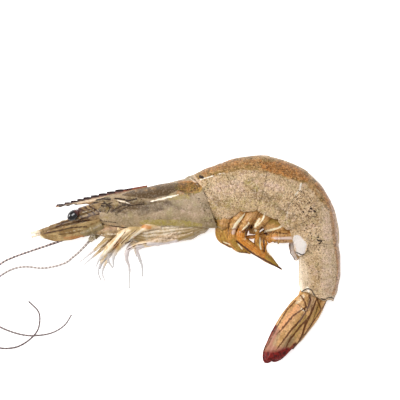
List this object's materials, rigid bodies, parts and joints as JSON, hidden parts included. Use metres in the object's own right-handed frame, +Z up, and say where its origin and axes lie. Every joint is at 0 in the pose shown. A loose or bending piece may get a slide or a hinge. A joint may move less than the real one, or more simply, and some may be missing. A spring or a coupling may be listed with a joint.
{
  "type": "raw tiger prawn",
  "caption": "Raw whole prawn with its shell, head, legs and tail fan on, lying curled on its side, for a fish counter, tray or plate",
  "frame": {"origin": "middle of the floor of the part's box, on the surface that the prawn lies on", "axes": "+X runs back along the animal, so the head is at -X and the bend of the tail at +X; +Y points towards its back; +Z points up from the surface, through its left side"},
  "size_m": [0.1358, 0.0756, 0.015],
  "materials": {
    "shell": "wet translucent shell, grey-pink with fine dark specks, orange-brown back, amber swimmerets",
    "eye": "glossy black",
    "antenna": "satin brown-mauve with darker rings"
  },
  "bodies": {
    "root": {"prawn_body": "shell", "eye_left": "eye", "eye_right": "eye", "antenna_left": "antenna", "antenna_right": "antenna"}
  },
  "joints": []
}
